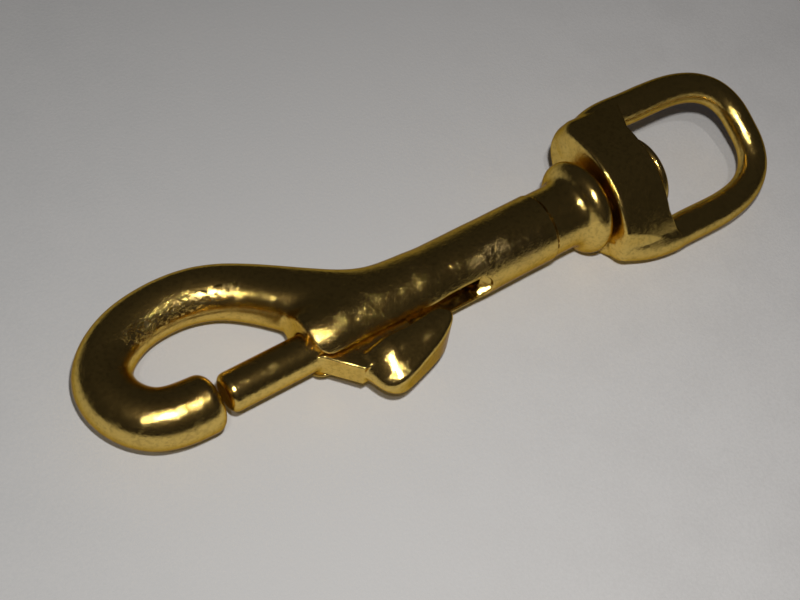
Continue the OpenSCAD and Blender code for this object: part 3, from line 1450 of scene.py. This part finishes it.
@dataclass
class Spring:
    """The closed-end coil behind the bolt, wound by a node tree, in millimetres."""

    start_x: float = 15.5
    end_x: float = 43.2
    radius: float = 1.8
    wire: float = 0.6
    coils: float = 13.0
    closing: float = 0.11
    drop: float = 1.1
    steps: int = 480
    sides: int = 12

    def tree(self, material: bpy.types.Material) -> bpy.types.NodeTree:
        """Builds the node tree that winds the spring.

        Args:
            material: the wire's finish.

        Returns:
            The tree, with inputs for its sizes.
        """
        tree = bpy.data.node_groups.new("wind_spring", "GeometryNodeTree")
        face = tree.interface
        face.new_socket("Geometry", in_out="INPUT", socket_type="NodeSocketGeometry")
        names = ("Start", "Length", "Radius", "Wire", "Coils", "Across", "Up")
        for name in names:
            face.new_socket(name, in_out="INPUT", socket_type="NodeSocketFloat")
        face.new_socket("Geometry", in_out="OUTPUT", socket_type="NodeSocketGeometry")
        g = Graph(tree)
        given = {name: g.add("NodeGroupInput", output=name) for name in names}
        turn = 2 * math.pi

        # how far along each point lies, closer together at the ends
        line = g.add("GeometryNodeMeshLine", {"mode": "OFFSET"}, {"Count": self.steps + 1})
        share = g.math("DIVIDE", g.add("GeometryNodeInputIndex"), float(self.steps))
        bent = share - g.math("SINE", share * turn) * self.closing
        angle = share * (given["Coils"] * turn)
        x = given["Start"] + given["Length"] * bent
        y = given["Across"] + given["Radius"] * g.math("COSINE", angle)
        z = given["Up"] + given["Radius"] * g.math("SINE", angle)
        place = g.add("ShaderNodeCombineXYZ", None, {0: x, 1: y, 2: z})

        # the wire round that line
        moved = g.add("GeometryNodeSetPosition", None, {"Geometry": line, "Position": place})
        curve = g.add("GeometryNodeMeshToCurve", None, {"Mesh": moved})
        ring = g.add(
            "GeometryNodeCurvePrimitiveCircle", None, {"Resolution": self.sides, "Radius": given["Wire"]}
        )
        tube = g.add(
            "GeometryNodeCurveToMesh", None, {"Curve": curve, "Profile Curve": ring, "Fill Caps": True}
        )
        smooth = g.add("GeometryNodeSetShadeSmooth", None, {"Geometry": tube})
        real = g.add("GeometryNodeRealizeInstances", None, {"Geometry": smooth})
        dressed = g.add("GeometryNodeSetMaterial", None, {"Geometry": real, "Material": material})
        g.end(dressed, "NodeGroupOutput")
        return tree

    def build(self, finish: Steel) -> bpy.types.Object:
        """Winds and places the spring.

        Args:
            finish: its surface.

        Returns:
            The piece.
        """
        material = finish.material()
        holder = new_piece("spring_holder", np.zeros((1, 3)), [], material)
        tree = self.tree(material)
        modifier = holder.modifiers.new("wind", "NODES")
        modifier.node_group = tree
        start = DATUM.metres(np.array([self.start_x, -self.drop, 0.0]))
        sizes = {
            "Start": start[0],
            "Length": (self.end_x - self.start_x) * MM,
            "Radius": self.radius * MM,
            "Wire": self.wire / 2 * MM,
            "Coils": self.coils,
            "Across": start[1],
            "Up": start[2],
        }
        for item in tree.interface.items_tree:
            if item.in_out == "INPUT" and item.name in sizes:
                modifier[item.identifier] = float(sizes[item.name])
        bpy.context.view_layer.update()
        wound = holder.evaluated_get(bpy.context.evaluated_depsgraph_get())
        mesh = bpy.data.meshes.new_from_object(wound)
        bpy.data.objects.remove(holder)
        mesh.name = "spring_coil"
        piece = bpy.data.objects.new("spring_coil", mesh)
        bpy.context.scene.collection.objects.link(piece)
        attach(piece, "body")
        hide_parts("spring")
        anchor = DATUM.metres(np.array([self.end_x, -self.drop, 0.0]))
        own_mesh(piece)
        return piece


# ------------------------------------------------------------------- setting


@dataclass
class Setting:
    """The paper, the lamps and the camera, in metres but for the names that end in mm."""

    camera_mm: tuple[float, float, float] = (-89.421, -86.377, 160.941)
    forward: tuple[float, float, float] = (0.40459347, 0.43483691, -0.80450045)
    right: tuple[float, float, float] = (0.81395951, -0.57224092, 0.10005119)
    up: tuple[float, float, float] = (0.41686213, 0.69531085, 0.58546458)
    lens_mm: float = 58.5
    sensor_mm: float = 36.0
    clip_start: float = 0.01
    floor_size: float = 3.0
    rest_mm: float = 1.406
    rest_slope: tuple[float, float] = (-0.0380, 0.0652)
    lamp_power: float = 0.212
    lamp_aside: float = 0.010
    lamp_above: float = 0.027
    lamp_size: float = 0.009
    lamp_colour: tuple[float, float, float] = (1.0, 0.985, 0.965)
    lamp_aim: tuple[float, float, float] = (0.0, 0.0, 0.006)
    far_power: float = 1.5
    far_size: float = 0.03
    far_times: float = 7.0
    world: tuple[float, float, float] = (0.022, 0.0208, 0.0235)

    def camera(self) -> None:
        """Sets the camera."""
        data = bpy.data.cameras.new("camera")
        data.lens = self.lens_mm
        data.sensor_width = self.sensor_mm
        data.clip_start = self.clip_start
        made = bpy.data.objects.new("camera", data)
        bpy.context.scene.collection.objects.link(made)
        turn = Matrix((self.right, self.up, tuple(-c for c in self.forward))).transposed()
        made.matrix_world = Matrix.Translation(Vector(self.camera_mm) * MM) @ turn.to_4x4()
        bpy.context.scene.camera = made

    def floor(self, finish: Paper) -> None:
        """Lays the paper so that the part rests on it.

        Args:
            finish: the paper's surface.
        """
        s = self.floor_size
        corners = np.array([(-s, -s), (s, -s), (s, s), (-s, s)])
        heights = self.rest_mm * MM + corners @ np.array(self.rest_slope)
        points = np.column_stack([corners, heights])
        plane = new_piece("paper_sheet", points, [(0, 1, 2, 3)], finish.material())

    def lamp(self, name: str, place: Vector, power: float, size: float) -> None:
        """Adds a round soft lamp that faces the part.

        Args:
            name: the lamp's name.
            place: where it stands, in metres.
            power: its power in watts.
            size: its width in metres.
        """
        data = bpy.data.lights.new(name, "AREA")
        data.shape = "DISK"
        data.size = size
        data.energy = power
        data.color = self.lamp_colour
        made = bpy.data.objects.new(name, data)
        bpy.context.scene.collection.objects.link(made)
        turn = (Vector(self.lamp_aim) - place).to_track_quat("-Z", "Y")
        made.matrix_world = Matrix.Translation(place) @ turn.to_matrix().to_4x4()

    def light(self) -> None:
        """Sets the lamps and the dim room."""
        eye = Vector(self.camera_mm) * MM
        beside = Vector(self.right) * self.lamp_aside + Vector(self.up) * self.lamp_above
        self.lamp("near_lamp", eye + beside, self.lamp_power, self.lamp_size)
        self.lamp("far_lamp", (eye + beside) * self.far_times, self.far_power, self.far_size)
        world = bpy.data.worlds.new("room")
        world.use_nodes = True
        world.node_tree.nodes["Background"].inputs[0].default_value = (*self.world, 1.0)
        bpy.context.scene.world = world

    def build(self) -> None:
        """Makes everything round the part."""
        self.camera()
        self.floor(Paper())
        self.light()
        bpy.context.scene.view_settings.view_transform = "Standard"


# ------------------------------------------------------------------- the part


def main() -> None:
    """Builds the part and its setting, in order."""
    logging.basicConfig(level=logging.INFO, format="%(name)s: %(message)s")
    body = Brass(
        "cast_brass",
        coarse=(Spot((17.0, -1.0, 3.0), (30.0, 8.0, 7.0)),),
        rough=(
            Spot((31.0, -3.0, 4.5), (6.0, 3.0, 3.5)),
            Spot((36.5, -3.5, 3.0), (6.0, 3.0, 4.0), 0.7),
        ),
        pits_and_shade=(
            Spot((-17.5, 12.2, 2.7), (5.5, 2.2, 1.9)),
            Spot((-11.5, 12.9, 2.9), (5.0, 1.6, 1.6)),
            Spot((-6.5, 11.9, 3.4), (4.0, 1.6, 1.2), 0.8),
        ),
    )
    bolt = Brass("bolt_brass", filed=(Spot((8.5, -5.6, 2.0), (9.0, 2.6, 1.6)),))
    eye = Brass("eye_brass", coarse=(Spot((58.5, 0.0, 6.0), (8.0, 13.0, 9.0), 0.8),))
    makers = (
        lambda: SnapBody().build(body),
        lambda: Plunger().build(bolt),
        lambda: SwivelEye().build(eye),
        lambda: SwivelPin().build(Brass("pin_brass", wear=Wear.TURNED)),
        lambda: Spring().build(Steel()),
    )
    for make in makers:
        piece = make()
        mesh = piece.data
        LOG.info("%s: %d points, %d faces", piece.name, len(mesh.vertices), len(mesh.polygons))
    Setting().build()


if __name__ == "__main__":
    main()
